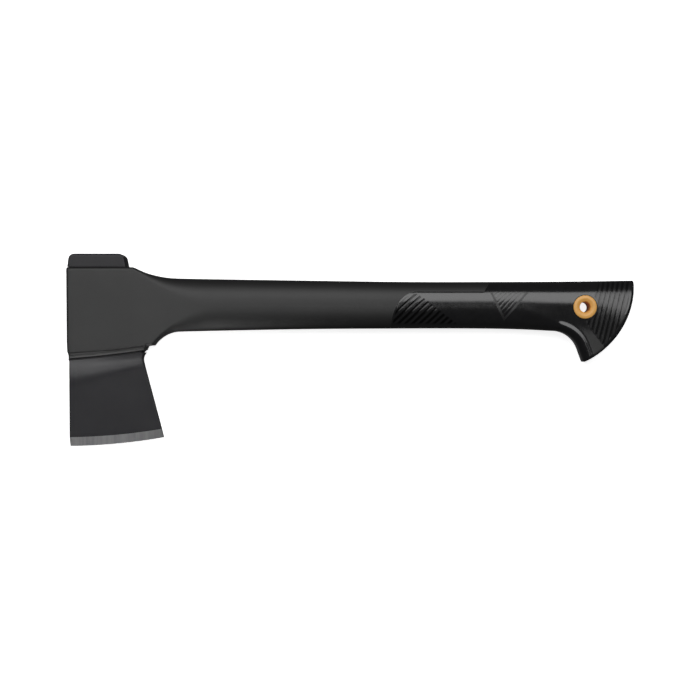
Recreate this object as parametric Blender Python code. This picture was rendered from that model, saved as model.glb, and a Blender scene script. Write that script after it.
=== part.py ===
"""Hatchet with a moulded composite handle.

The hatchet lies on its side. The handle runs along +X from the head to the butt, the poll points to +Y, the
cutting edge to -Y, and Z is the thickness. Lengths below are in millimetres, in a design frame whose origin
is on the handle's axis at the front of the head, half way through the thickness. The root empty moves that
frame so that the part's origin is under the middle of its box.
"""

from math import atan2, cos, hypot, pi, radians, sin, sqrt

import bmesh
import bpy

MM = 0.001
GAP = 0.3

# Overall sizes
LENGTH = 360.0
POLL_TOP = 32.8
EDGE_LOW = -89.6
WRAP_HALF = 14.0

# Outline of the wrap round the head, with the collar along its lower rim
WRAP_TOP = 24.2
WRAP_CORNER = 1.5
WRAP_LEAN = 0.45
WRAP_LEDGE_X = 42.4
BACK_FILLET = (70.8, 79.6, 62.35)
WRAP_HEEL_X = 49.3
HEEL_RISE = 1.6
BELLY_LEDGE_X = 54.6
BELLY_LEDGE_SLOPE = 0.1
BELLY_FILLET = (71.4, -36.95, 20.4)
COLLAR_STEP = 1.6
COLLAR_ROUND = 1.5
COLLAR_DRAW = 1.1
COLLAR_DRAW_X = 12.0
COLLAR_DRAW_Y = (-32.0, -28.6)
FRONT_FILLET = 1.6

# Outline of the shaft, as points on its back and belly curves
BACK_POINTS = ((70.8, 17.25), (148.0, 16.05), (215.0, 15.15), (275.0, 15.15), (330.0, 15.4), (360.0, 15.9))
BELLY_POINTS = ((71.4, -16.55), (148.0, -15.05), (215.0, -14.6), (265.0, -14.65), (290.0, -15.2),
                (308.95, -16.1))
SHAFT_X = 88.0
SHAFT_THIN_X = 92.0
SHAFT_MIDDLE_X = 150.0
SHAFT_HALF = 10.8
SHAFT_ROUND = 2.4
SHAFT_FLAT = 0.6
SHAFT_EDGE = 0.8

# Outline of the hooked butt: the hook's arc ends in a straight stretch down to the tip
HOOK = (308.95, -32.9, 16.8)
HOOK_LEAN = 20.0
REAR = (305.35, 13.55, 54.65)
BUTT_START_X = 292.0
BUTT_WIDEN_X = (288.0, 334.0)
BUTT_HALF = 13.2
GRIP_ROUND = 14.4
BUTT_BACK_ROUND = 32.0
BUTT_BACK_X = (330.0, 352.0)
BUTT_BELLY_ROUND = 5.0
BUTT_BELLY_X = (285.0, 325.0)
BUTT_FLAT = 4.0
BUTT_FLAT_X = (285.0, 340.0)
REAR_FILLET = 1.8
TIP_RADIUS = 1.0
HEEL_RADIUS = 1.0
LIP_OFFSET = 3.9
LIP_OUTSIDE = 1.4
LIP_WIDTH = 2.5
LIP_HEIGHT = 0.24
LIP_START_X = (310.0, 315.0)
LIP_START_Y = (-10.0, -7.5)

# Grip skin
SKIN = 1.8
SKIN_START_X = 196.0
GRIP_FRONT = (222.0, -14.5, 16.0, 23.2)
SPINE_END = ((265.0, 8.7), (268.8, 15.0))

# Hollow of the shaft and the plug in its end
HOLLOW_START_X = 74.0
HOLLOW_INSET = 4.6
HOLLOW_DEPTH = 14.4
PLUG_X = 316.0
PLUG_OVERLAP = 4.0
TUBE_TAPER = 7.0
TUBE_POINTS = 9
SPIGOT_X = 298.0

# Steel head
POLL_BASE = 24.5
POLL_HALF = 12.5
POLL_BASE_X = (0.6, 37.9)
POLL_TOP_X = (1.7, 36.2)
POLL_CORNER = 3.1
POLL_ROUND = 1.4
TANG_X = (4.0, 36.0)
TANG_HALF = 8.5
WINDOW_X = (13.0, 27.0)
WINDOW_Y = (-14.0, 12.0)
BLADE_GAP = 1.15
TONGUE_X = (1.2, 47.6)
TONGUE_HALF = 10.6
TONGUE_WIDEN = 1.6
BLADE_FRONT_X = (1.9, 0.85, 1.3)
NECK_X = 47.8
NECK_Y = -34.6
NECK_RISE_Y = (-33.0, -28.5)
HEEL_SLOPE = 0.272
BLADE_SHOULDER_HALF = 12.4
BLADE_HALF = 4.2
BEVEL_HALF = 1.5
EDGE_HALF = 0.2
BLADE_TOP_X = 48.0
FLARE_HEEL = 11.0
FLARE_TOE = 16.0
FLARE_POWER = 2.6
EDGE_ARC = (-2.9, 279.1, 368.7)
BEVEL_HEIGHT = 5.7
HEAD_ACROSS = (0.0, 0.02, 0.2, 0.4, 0.6, 0.8, 0.98, 1.0)
BLADE_STEPS = (0.0, 0.012, 0.04, 0.08, 0.13, 0.2, 0.3, 0.45, 0.7, 1.0)
END_DRAW = 0.06

# Eyelet
EYE = (328.6, -1.05)
EYE_BORE = 3.35
EYE_TUBE = 5.3
EYE_FLANGE = 7.4
EYE_CROWN = 5.9
EYE_SEAT = 12.2
EYE_TOP = 13.9
EYE_SIDES = 28

# Mesh fineness
WRAP_RIBS = (0.0, 0.45, 1.6, 12, 28, 42.4, 46, 49.2, 49.7, 50.1, 50.5, 50.9, 54.6, 57, 60, 64, 70)
CORNER_STEPS = 4
FACE_STEPS = 3
SHAFT_RIBS = (78, 88, 104, 128, 155, 182, 205, 228, 250, 272)
BUTT_RIBS = 8
PRISM_HALF = 30.0


def blend(value, low, high, first, last):
    """Goes smoothly from first at low to last at high."""
    t = min(max((value - low) / (high - low), 0.0), 1.0)
    return first + (last - first) * t * t * (3.0 - 2.0 * t)


def curve_through(points):
    """Returns a smooth y(x) through the points."""
    def slope(i):
        a, b = points[max(i - 1, 0)], points[min(i + 1, len(points) - 1)]
        return (b[1] - a[1]) / (b[0] - a[0])

    def height(x):
        i = 0
        while i < len(points) - 2 and x > points[i + 1][0]:
            i += 1
        (x0, y0), (x1, y1) = points[i], points[i + 1]
        run = x1 - x0
        t = (x - x0) / run
        rise = (3.0 - 2.0 * t) * t * t
        tangents = slope(i) * run * t * (1.0 - t) ** 2 - slope(i + 1) * run * t * t * (1.0 - t)
        return y0 + (y1 - y0) * rise + tangents
    return height


back_curve = curve_through(BACK_POINTS)
belly_curve = curve_through(BELLY_POINTS)


def collar_low(x):
    """Height of the collar's lower rim, where the blade leaves the wrap."""
    return -33.7 + 0.066 * x + 0.00085 * x * x


def back_edge(x):
    """Upper outline of the handle."""
    if x < WRAP_LEDGE_X:
        return WRAP_TOP
    cx, cy, r = BACK_FILLET
    if x < cx:
        return cy - sqrt(r * r - (x - cx) ** 2)
    return back_curve(x)


def belly_edge(x):
    """Lower outline of the handle, as far as the hook: collar, step up, short ledge, fillet, shaft."""
    if x < WRAP_HEEL_X:
        return collar_low(x)
    cx, cy, r = BELLY_FILLET
    fillet = cy + sqrt(r * r - (min(max(x, BELLY_LEDGE_X), cx) - cx) ** 2)
    if x < BELLY_LEDGE_X:
        ledge = fillet - BELLY_LEDGE_SLOPE * (BELLY_LEDGE_X - x)
        return blend(x, WRAP_HEEL_X, WRAP_HEEL_X + HEEL_RISE, collar_low(WRAP_HEEL_X), ledge)
    return fillet if x < cx else belly_curve(x)


def half_thickness(x):
    """Half the handle's thickness at x."""
    if x < SHAFT_MIDDLE_X:
        return blend(x, WRAP_LEDGE_X, SHAFT_THIN_X, WRAP_HALF, SHAFT_HALF)
    return blend(x, *BUTT_WIDEN_X, SHAFT_HALF, BUTT_HALF)


def corners(x, depth):
    """Belly and back corners of the section at x, each as its reach, its flat and its exponent."""
    roundness = depth / 2.0 - SHAFT_EDGE
    half = half_thickness(x)
    if x >= SHAFT_MIDDLE_X:
        roundness = min(roundness, GRIP_ROUND)
        belly = (blend(x, *BUTT_BELLY_X, roundness, BUTT_BELLY_ROUND),
                 blend(x, *BUTT_BELLY_X, SHAFT_FLAT, half - BUTT_BELLY_ROUND),
                 blend(x, *BUTT_BELLY_X, SHAFT_ROUND, 2.0))
        back = (blend(x, *BUTT_BACK_X, roundness, BUTT_BACK_ROUND),
                blend(x, *BUTT_FLAT_X, SHAFT_FLAT, BUTT_FLAT),
                SHAFT_ROUND)
        return belly, back
    belly = (blend(x, WRAP_HEEL_X, SHAFT_X, COLLAR_ROUND, roundness),
             blend(x, WRAP_HEEL_X, SHAFT_X, half - COLLAR_STEP, SHAFT_FLAT),
             blend(x, WRAP_HEEL_X, SHAFT_X, 2.0, SHAFT_ROUND))
    back = (blend(x, WRAP_LEDGE_X, SHAFT_X, WRAP_CORNER, roundness),
            blend(x, WRAP_LEDGE_X, SHAFT_X, half - WRAP_CORNER, SHAFT_FLAT),
            blend(x, WRAP_LEDGE_X, SHAFT_X, 2.0, SHAFT_ROUND))
    return belly, back


def section(x, depth, inset):
    """Points of one rib as (share of the rib from the belly, half thickness there)."""
    belly, back = corners(x, depth + 2.0 * inset)
    half = half_thickness(x) - inset
    points = []
    for reach, flat, power in (belly, back):
        reach = max(reach - inset, depth * 0.04)
        drop = half - max(flat - inset, SHAFT_FLAT)
        side = []
        for step in range(CORNER_STEPS + 1):
            angle = step / CORNER_STEPS * pi / 2.0
            along = reach * (1.0 - max(cos(angle), 0.0) ** (2.0 / power))
            side.append((along / depth, half - drop * (1.0 - sin(angle) ** (2.0 / power))))
        points.append(side)
    lower = points[0]
    upper = [(1.0 - share, z) for share, z in reversed(points[1])]
    start, end = lower[-1][0], upper[0][0]
    face = [(start + (end - start) * i / FACE_STEPS, half) for i in range(1, FACE_STEPS)]
    return lower + face + upper


def end_factor(distance, radius, half):
    """How far the thickness draws in near a filleted end."""
    if distance >= radius:
        return 1.0
    return 1.0 - (radius - sqrt(radius ** 2 - (radius - distance) ** 2)) / half


def upright_rib(x, inset=0.0, front=False):
    """A rib straight across the handle at x; the wrap's front leans and draws in at the collar."""
    low, high = belly_edge(x) + inset, back_edge(x) - inset
    factor = end_factor(x, FRONT_FILLET, WRAP_HALF) if front else 1.0
    near_front = max(0.0, 1.0 - x / COLLAR_DRAW_X)
    rib = []
    for share, z in section(x, high - low, inset):
        y = low + (high - low) * share
        lean = WRAP_LEAN * (WRAP_TOP - y) / (WRAP_TOP - collar_low(0.0))
        draw = lean + blend(y, *COLLAR_DRAW_Y, COLLAR_DRAW, 0.0)
        rib.append((x + draw * near_front, y, z * factor))
    return rib


def arc_point(circle, start, end, share):
    """A point on the circle, share of the way from angle start to angle end."""
    cx, cy, r = circle
    angle = start + (end - start) * share
    return cx + r * cos(angle), cy + r * sin(angle)


def angle_on(circle, point):
    """Direction of the point from the circle's centre, for points on its right."""
    return atan2(point[1] - circle[1], point[0] - circle[0])


def line_meets_circle(start, heading, circle):
    """How far along the heading a line from inside the circle reaches it."""
    cx, cy, r = circle
    dx, dy = start[0] - cx, start[1] - cy
    along = dx * heading[0] + dy * heading[1]
    return sqrt(along * along - (dx * dx + dy * dy - r * r)) - along


HOOK_HEADING = (sin(radians(HOOK_LEAN)), -cos(radians(HOOK_LEAN)))


def butt_outline(inset, rear_inset):
    """Belly, rear and back curves of the hooked butt, each a function of the share along it."""
    hook = (HOOK[0], HOOK[1], HOOK[2] + inset)
    rear = (REAR[0], REAR[1], REAR[2] - rear_inset)
    turn = arc_point(hook, 0.0, radians(HOOK_LEAN), 1.0)
    straight = line_meets_circle(turn, HOOK_HEADING, rear)
    tip = (turn[0] + HOOK_HEADING[0] * straight, turn[1] + HOOK_HEADING[1] * straight)
    run = HOOK[0] - BUTT_START_X
    bend = hook[2] * (pi / 2.0 - radians(HOOK_LEAN))
    heel_x = rear[0] + sqrt(rear[2] ** 2 - (back_edge(LENGTH) - inset - rear[1]) ** 2)
    heel = (heel_x, back_edge(heel_x) - inset)
    rear_from, rear_to = angle_on(rear, tip), angle_on(rear, heel)

    def belly(share):
        travel = share * (run + bend + straight)
        if travel < run:
            x = BUTT_START_X + travel
            return x, belly_edge(x) + inset
        if travel < run + bend:
            return arc_point(hook, pi / 2.0, radians(HOOK_LEAN), (travel - run) / bend)
        beyond = travel - run - bend
        return turn[0] + HOOK_HEADING[0] * beyond, turn[1] + HOOK_HEADING[1] * beyond

    def back(share):
        x = BUTT_START_X + share * (heel[0] - BUTT_START_X)
        return x, back_edge(x) - inset

    def rear_side(share):
        return arc_point(rear, rear_from, rear_to, share)
    return belly, back, rear_side


def butt_point(u, v, low, high, near, far, corner):
    """Point of the butt's patch: u runs to the rear, v from the belly to the back."""
    point = []
    for i in range(2):
        ruled = (1 - v) * low[i] + v * high[i] + (1 - u) * near[i] + u * far[i]
        twice = ((1 - u) * (1 - v) * corner[0][i] + u * (1 - v) * corner[1][i]
                 + (1 - u) * v * corner[2][i] + u * v * corner[3][i])
        point.append(ruled - twice)
    return point


def lip(x, y):
    """Height of the raised lip that follows the hook's inner edge."""
    dx, dy = x - HOOK[0], y - HOOK[1]
    past = dx * HOOK_HEADING[0] + dy * HOOK_HEADING[1]
    off = dx * cos(radians(HOOK_LEAN)) + dy * sin(radians(HOOK_LEAN)) if past > 0.0 else hypot(dx, dy)
    off -= HOOK[2] + LIP_OFFSET
    side = blend(off, 0.0, LIP_WIDTH, 1.0, 0.0) if off > 0.0 else blend(off, -LIP_OUTSIDE, 0.0, 0.0, 1.0)
    return LIP_HEIGHT * side * blend(x, *LIP_START_X, 0.0, 1.0) * blend(y, *LIP_START_Y, 1.0, 0.0)


def butt_rib(u, inset, rear_inset, rear_distance):
    """A rib of the butt, between the upright rib at its start and the rear arc."""
    belly, back, rear_side = butt_outline(inset, rear_inset)
    start_low, start_high = belly_edge(BUTT_START_X) + inset, back_edge(BUTT_START_X) - inset
    low, high = belly(u), back(u)
    corner = (belly(0.0), belly(1.0), back(0.0), back(1.0))
    depth = hypot(high[0] - low[0], high[1] - low[1])
    middle = (low[0] + high[0]) / 2.0
    factor = end_factor(rear_distance, REAR_FILLET, BUTT_HALF) / half_thickness(middle)
    rib = []
    for share, z in section(middle, depth, inset):
        near = (BUTT_START_X, start_low + (start_high - start_low) * share)
        x, y = butt_point(u, share, low, high, near, rear_side(share), corner)
        if inset == 0.0:
            z += lip(x, y)
        rib.append((x, y, z * factor * half_thickness(x)))
    return rib


def handle_ribs(inset=0.0, start_x=0.0):
    """All ribs of the handle's outer shape, or of a shape that lies inset under it."""
    if start_x == 0.0:
        ribs = [upright_rib(float(x), front=True) for x in WRAP_RIBS]
    else:
        ribs = [upright_rib(start_x, inset)]
    ribs += [upright_rib(float(x), inset) for x in SHAFT_RIBS if x > start_x]
    fillet = REAR_FILLET if inset == 0.0 else 0.0
    ribs += [butt_rib(i / BUTT_RIBS, inset, inset + fillet, REAR_FILLET) for i in range(BUTT_RIBS)]
    if fillet:
        for angle in (0.0, 30.0, 60.0, 90.0):
            distance = fillet * (1.0 - sin(radians(angle)))
            ribs.append(butt_rib(1.0, inset, inset + distance, distance))
    else:
        ribs.append(butt_rib(1.0, inset, inset, REAR_FILLET))
    return ribs


def material(name, colour, roughness, metallic=0.0):
    """One Principled material."""
    made = bpy.data.materials.new(name)
    made.use_nodes = True
    shader = made.node_tree.nodes["Principled BSDF"]
    shader.inputs["Base Color"].default_value = (*colour, 1.0)
    shader.inputs["Roughness"].default_value = roughness
    shader.inputs["Metallic"].default_value = metallic
    return made


def add_object(name, points, faces, place=(0.0, 0.0, 0.0)):
    """Makes a closed, smooth-shaded mesh object from points in millimetres and parents it to the root."""
    mesh = bpy.data.meshes.new(name)
    mesh.from_pydata([tuple(c * MM for c in point) for point in points], [], faces)
    work = bmesh.new()
    work.from_mesh(mesh)
    bmesh.ops.recalc_face_normals(work, faces=work.faces)
    work.to_mesh(mesh)
    work.free()
    mesh.shade_smooth()
    mesh.set_sharp_from_angle(angle=radians(35.0))
    made = bpy.data.objects.new(name, mesh)
    bpy.context.scene.collection.objects.link(made)
    made.parent = root
    made.location = tuple(c * MM for c in place)
    return made


def ribbed_solid(name, ribs):
    """Closed solid symmetric about z = 0, from ribs of (x, y, half thickness)."""
    count = len(ribs[0])
    points = []
    for rib in ribs:
        points += [(x, y, z) for x, y, z in rib]
        points += [(x, y, -z) for x, y, z in rib]
    faces = []
    for r in range(len(ribs) - 1):
        here, there = r * 2 * count, (r + 1) * 2 * count
        for i in range(count - 1):
            faces.append((here + i, here + i + 1, there + i + 1, there + i))
            faces.append((here + count + i, there + count + i, there + count + i + 1, here + count + i + 1))
        for i in (0, count - 1):
            faces.append((here + i, there + i, there + count + i, here + count + i))
    for end in (0, (len(ribs) - 1) * 2 * count):
        for i in range(count - 1):
            faces.append((end + i, end + i + 1, end + count + i + 1, end + count + i))
    return add_object(name, points, faces)


def prism(name, outline, low=-PRISM_HALF, high=PRISM_HALF):
    """Straight solid over an outline in the XY plane."""
    count = len(outline)
    points = [(x, y, low) for x, y in outline] + [(x, y, high) for x, y in outline]
    faces = [tuple(range(count)), tuple(range(2 * count - 1, count - 1, -1))]
    for i in range(count):
        j = (i + 1) % count
        faces.append((i, j, count + j, count + i))
    return add_object(name, points, faces)


def box(name, x, y, z):
    """Rectangular solid between the given limits."""
    outline = ((x[0], y[0]), (x[1], y[0]), (x[1], y[1]), (x[0], y[1]))
    return prism(name, outline, z[0], z[1])


def turned(name, profile, sides, place):
    """Ring turned about Z from a closed profile of (radius, height)."""
    count = len(profile)
    points = []
    for s in range(sides):
        angle = 2.0 * pi * s / sides
        points += [(r * cos(angle), r * sin(angle), z) for r, z in profile]
    faces = []
    for s in range(sides):
        here, there = s * count, (s + 1) % sides * count
        for i in range(count):
            j = (i + 1) % count
            faces.append((here + i, there + i, there + j, here + j))
    return add_object(name, points, faces, place)


def rod(name, radius, sides, place, low, high):
    """Straight cylinder along Z at a place."""
    outline = [(radius * cos(2 * pi * s / sides), radius * sin(2 * pi * s / sides)) for s in range(sides)]
    made = prism(name, outline, low, high)
    made.location = (place[0] * MM, place[1] * MM, 0.0)
    return made


def combine(target, tool, operation):
    """Adds a Boolean to the target and marks the tool as a cutter."""
    step = target.modifiers.new(f"{operation.lower()}_{tool.name}", "BOOLEAN")
    step.operation = operation
    step.solver = "EXACT"
    step.object = tool
    tool.hide_render = True
    tool.display_type = "WIRE"


def round_corner(ribs, centre, radius, first, second):
    """Draws the rib points in a corner, between its two outward normals, back on to a fillet."""
    cross = first[0] * second[1] - first[1] * second[0]
    for rib in ribs:
        for i, (x, y, z) in enumerate(rib):
            dx, dy = x - centre[0], y - centre[1]
            along = (dx * second[1] - dy * second[0]) / cross
            beyond = (first[0] * dy - first[1] * dx) / cross
            off = hypot(dx, dy)
            if along > 0.0 and beyond > 0.0 and off > radius:
                rib[i] = (centre[0] + dx * radius / off, centre[1] + dy * radius / off, z)
    return ribs


def round_tip(ribs):
    """Rounds the hook's tip, between its straight stretch and the rear arc."""
    inner = (HOOK[0], HOOK[1], HOOK[2] + TIP_RADIUS)
    turn = arc_point(inner, 0.0, radians(HOOK_LEAN), 1.0)
    along = line_meets_circle(turn, HOOK_HEADING, (REAR[0], REAR[1], REAR[2] - TIP_RADIUS))
    centre = (turn[0] + HOOK_HEADING[0] * along, turn[1] + HOOK_HEADING[1] * along)
    outward = (-cos(radians(HOOK_LEAN)), -sin(radians(HOOK_LEAN)))
    rearward = ((centre[0] - REAR[0]) / REAR[2], (centre[1] - REAR[1]) / REAR[2])
    return round_corner(ribs, centre, TIP_RADIUS, outward, rearward)


def outer_ribs():
    """Ribs of the handle's outer shape with its in-plane corners rounded."""
    ribs = handle_ribs()
    heel = (LENGTH - HEEL_RADIUS, back_edge(LENGTH) - HEEL_RADIUS)
    round_corner(ribs, heel, HEEL_RADIUS, (1.0, 0.0), (0.0, 1.0))
    round_corner(ribs, (WRAP_CORNER, WRAP_TOP - WRAP_CORNER), WRAP_CORNER, (-1.0, 0.0), (0.0, 1.0))
    return round_tip(ribs)


def grip_outline(grow):
    """Outline of the region under the grip skin, grown over the bare handle."""
    cx, cy, across, up = GRIP_FRONT
    steps = 10
    front = []
    for i in range(steps + 1):
        angle = i / steps * pi / 2.0
        front.append((cx - (across + grow) * cos(angle), cy + (up + grow) * sin(angle)))
    spine = [(SPINE_END[0][0] - grow, SPINE_END[0][1] + grow), (SPINE_END[1][0] - grow, SPINE_END[1][1])]
    far = [(SPINE_END[1][0] - grow, 40.0), (LENGTH + 20.0, 40.0), (LENGTH + 20.0, -60.0)]
    return front + spine + far + [(cx - across - grow, -60.0)]


def tube_ribs(start_x, end_x, inset):
    """Ribs of the shaft's hollow, or of a plug for it, with a narrowed start."""
    ribs = []
    full_x = start_x + TUBE_TAPER
    half, depth = SHAFT_HALF - inset, HOLLOW_DEPTH - inset
    for x in (start_x, start_x + 2.0, full_x, *[s for s in SHAFT_RIBS if full_x + 3.0 < s < end_x], end_x):
        reach = blend(x, start_x - 4.0, full_x, 0.3, 1.0)
        rib = []
        for i in range(TUBE_POINTS):
            angle = -pi / 2.0 + (i + 0.5) / TUBE_POINTS * pi
            rib.append((x, reach * depth * sin(angle), reach * half * cos(angle)))
        ribs.append(rib)
    return ribs


def make_handle_body():
    """Wrap and matte shaft, hollow, with the core that carries the grip skin."""
    body = ribbed_solid("handle_body", outer_ribs())
    slot_x = (TANG_X[0] - GAP, TANG_X[1] + GAP)
    slot = box("cut_head_slot", slot_x, (-50.0, 50.0), (-TANG_HALF - GAP, TANG_HALF + GAP))
    bridge = box("cut_bridge", (WINDOW_X[0] + GAP, WINDOW_X[1] - GAP), (WINDOW_Y[0] + GAP, WINDOW_Y[1] - GAP),
                 (-PRISM_HALF, PRISM_HALF))
    combine(slot, bridge, "DIFFERENCE")
    combine(body, slot, "DIFFERENCE")
    skin = prism("cut_under_grip", grip_outline(GAP))
    core = ribbed_solid("cut_core", handle_ribs(SKIN + GAP, SKIN_START_X))
    combine(core, box("cut_core_end", (190.0, PLUG_X), (-60.0, 60.0), (-PRISM_HALF, PRISM_HALF)), "INTERSECT")
    combine(skin, core, "DIFFERENCE")
    combine(body, skin, "DIFFERENCE")
    hollow = ribbed_solid("cut_hollow", tube_ribs(HOLLOW_START_X, PLUG_X + PLUG_OVERLAP, HOLLOW_INSET))
    combine(body, hollow, "DIFFERENCE")
    body.data.materials.append(material("glass_filled_nylon", (0.035, 0.035, 0.037), 0.55))


def make_grip():
    """Glossy grip skin over the rear of the handle and the hooked butt."""
    grip = ribbed_solid("grip_overmould", outer_ribs())
    combine(grip, prism("keep_grip", grip_outline(0.0)), "INTERSECT")
    combine(grip, ribbed_solid("cut_grip_inside", handle_ribs(SKIN, SKIN_START_X)), "DIFFERENCE")
    combine(grip, rod("cut_grip_bore", EYE_TUBE + GAP, EYE_SIDES, EYE, -PRISM_HALF, PRISM_HALF), "DIFFERENCE")
    for side in (1, -1):
        low, high = sorted((side * (EYE_SEAT - GAP), side * PRISM_HALF))
        seat = rod(f"cut_seat_{low:.0f}", EYE_FLANGE + GAP, EYE_SIDES, EYE, low, high)
        combine(grip, seat, "DIFFERENCE")
    grip.data.materials.append(material("gloss_grip", (0.012, 0.012, 0.013), 0.22))


def make_butt_plug():
    """Plug that closes the hollow, with a spigot into the shaft and a core for the hooked butt."""
    plug = ribbed_solid("butt_plug", handle_ribs(SKIN + GAP, 230.0))
    keep = box("keep_plug", (PLUG_X + GAP, 400.0), (-60.0, 60.0), (-PRISM_HALF, PRISM_HALF))
    combine(plug, keep, "INTERSECT")
    spigot = ribbed_solid("add_spigot", tube_ribs(SPIGOT_X, PLUG_X + PLUG_OVERLAP, HOLLOW_INSET + GAP))
    combine(plug, spigot, "UNION")
    combine(plug, rod("cut_plug_bore", EYE_TUBE + GAP, EYE_SIDES, EYE, -PRISM_HALF, PRISM_HALF), "DIFFERENCE")
    plug.data.materials.append(material("nylon_plug", (0.03, 0.03, 0.03), 0.6))


def make_eyelets():
    """The two halves of the orange eyelet, one from each face."""
    profile = (
        (EYE_BORE, GAP / 2.0),
        (EYE_BORE, EYE_TOP - 3.0),
        (EYE_CROWN - 1.0, EYE_TOP - 0.6),
        (EYE_CROWN - 0.4, EYE_TOP),
        (EYE_CROWN + 0.5, EYE_TOP),
        (EYE_FLANGE - 0.2, EYE_SEAT + 1.0),
        (EYE_FLANGE, EYE_SEAT + 0.6),
        (EYE_FLANGE, EYE_SEAT),
        (EYE_TUBE, EYE_SEAT),
        (EYE_TUBE, GAP / 2.0),
    )
    front = turned("eyelet_front", profile, EYE_SIDES, (*EYE, 0.0))
    back = turned("eyelet_back", [(r, -z) for r, z in profile], EYE_SIDES, (*EYE, 0.0))
    for half in (front, back):
        half.data.materials.append(material(f"orange_{half.name}", (0.85, 0.25, 0.01), 0.35))


def edge_height(x):
    """Height of the cutting edge."""
    cx, cy, r = EDGE_ARC
    return cy - sqrt(r * r - (x - cx) ** 2)


def heel_x(y):
    """Position of the blade's heel side at a height."""
    if y > NECK_Y:
        return NECK_X + blend(y, *NECK_RISE_Y, 0.0, TONGUE_WIDEN)
    return NECK_X + (NECK_Y - y) * HEEL_SLOPE


def head_row(height_at, left, right, half_at):
    """One row of the head, from its front to its heel side, with its ends drawn in."""
    row = []
    for share in HEAD_ACROSS:
        x = left + (right - left) * share
        drawn = END_DRAW if share in (0.0, 1.0) else 0.0
        row.append((x, height_at(x), half_at(x) * (1.0 - drawn)))
    return row


def flat_row(y, left, right, half):
    """A row of the head at one height and thickness."""
    return head_row(lambda x: y, left, right, lambda x: half)


def collar_row(above, left, right, half):
    """A row of the head that follows the collar's lower rim."""
    return head_row(lambda x: collar_low(x) + above, left, right, lambda x: half)


def poll_rows():
    """Rows of the poll, rounded at its upper corners and round its face, down to its base."""
    rows = []
    for angle in (0.0, pi / 6.0, pi / 3.0, pi / 2.0):
        depth = POLL_CORNER * (1.0 - cos(angle))
        share = depth / (POLL_TOP - POLL_BASE)
        left, right = (top + (base - top) * share for top, base in zip(POLL_TOP_X, POLL_BASE_X))
        drawn = POLL_CORNER * (1.0 - sin(angle))
        sunk = max(POLL_ROUND - depth, 0.0)
        half = POLL_HALF - POLL_ROUND + sqrt(POLL_ROUND ** 2 - sunk ** 2)
        rows.append(flat_row(POLL_TOP - depth, left + drawn, right - drawn, half))
    rows.append(flat_row(POLL_BASE, *POLL_BASE_X, POLL_HALF))
    return rows


def blade_row(t):
    """One row of the blade: t runs from its shoulder to the top of the bevel."""
    def height_at(x):
        shoulder, bevel = collar_low(x) - BLADE_GAP, edge_height(x) + BEVEL_HEIGHT
        return shoulder + (bevel - shoulder) * t

    def flare(x):
        run = (collar_low(x) - BLADE_GAP) - (edge_height(x) + BEVEL_HEIGHT)
        return max(0.0, 1.0 - t * run / blend(x, 0.0, BLADE_TOP_X, FLARE_TOE, FLARE_HEEL)) ** FLARE_POWER

    def half_at(x):
        body = BLADE_HALF + (BEVEL_HALF - BLADE_HALF) * t
        return body + (BLADE_SHOULDER_HALF - body) * flare(x)
    shoulder_x, blade_x, _ = BLADE_FRONT_X
    left = blade_x + (shoulder_x - blade_x) * flare(0.0)
    return head_row(height_at, left, heel_side(height_at), half_at)


def heel_side(height_at):
    """Where a row of the blade meets its sloping heel side."""
    right = NECK_X
    for _ in range(6):
        right = heel_x(height_at(right))
    return right


def make_head():
    """Forged head: poll, the tang inside the wrap with its locking window, and the blade."""
    rows = poll_rows()
    rows.append(flat_row(POLL_BASE, *TANG_X, TANG_HALF))
    rows.append(collar_row(-GAP, *TANG_X, TANG_HALF))
    rows.append(collar_row(-GAP, TONGUE_X[0], TONGUE_X[1] + TONGUE_WIDEN, TONGUE_HALF))
    rows.append(collar_row(-BLADE_GAP, *TONGUE_X, TONGUE_HALF))
    rows += [blade_row(t) for t in BLADE_STEPS]
    rows.append(head_row(edge_height, BLADE_FRONT_X[2], heel_side(edge_height), lambda x: EDGE_HALF))
    head = ribbed_solid("axe_head", rows)
    window = box("cut_window", WINDOW_X, WINDOW_Y, (-PRISM_HALF, PRISM_HALF))
    combine(head, window, "DIFFERENCE")
    head.data.materials.append(material("coated_steel", (0.05, 0.05, 0.055), 0.45, 0.3))


def clear_scene():
    """Removes whatever the file starts with."""
    for item in list(bpy.data.objects):
        bpy.data.objects.remove(item, do_unlink=True)


clear_scene()
root = bpy.data.objects.new("root", None)
bpy.context.scene.collection.objects.link(root)
root.location = (-LENGTH / 2.0 * MM, -(POLL_TOP + EDGE_LOW) / 2.0 * MM, WRAP_HALF * MM)
make_head()
make_handle_body()
make_grip()
make_butt_plug()
make_eyelets()
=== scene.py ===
"""Looks of the hatchet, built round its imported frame.

Lengths are in millimetres in the part's design frame: X runs along the handle from the front of the
head, Y goes up from the handle's axis to the poll, and Z is the thickness, from the middle plane.
to_world() turns them into the frame's metres.
"""

from math import atan2, cos, hypot, pi, radians, sin, sqrt

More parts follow.
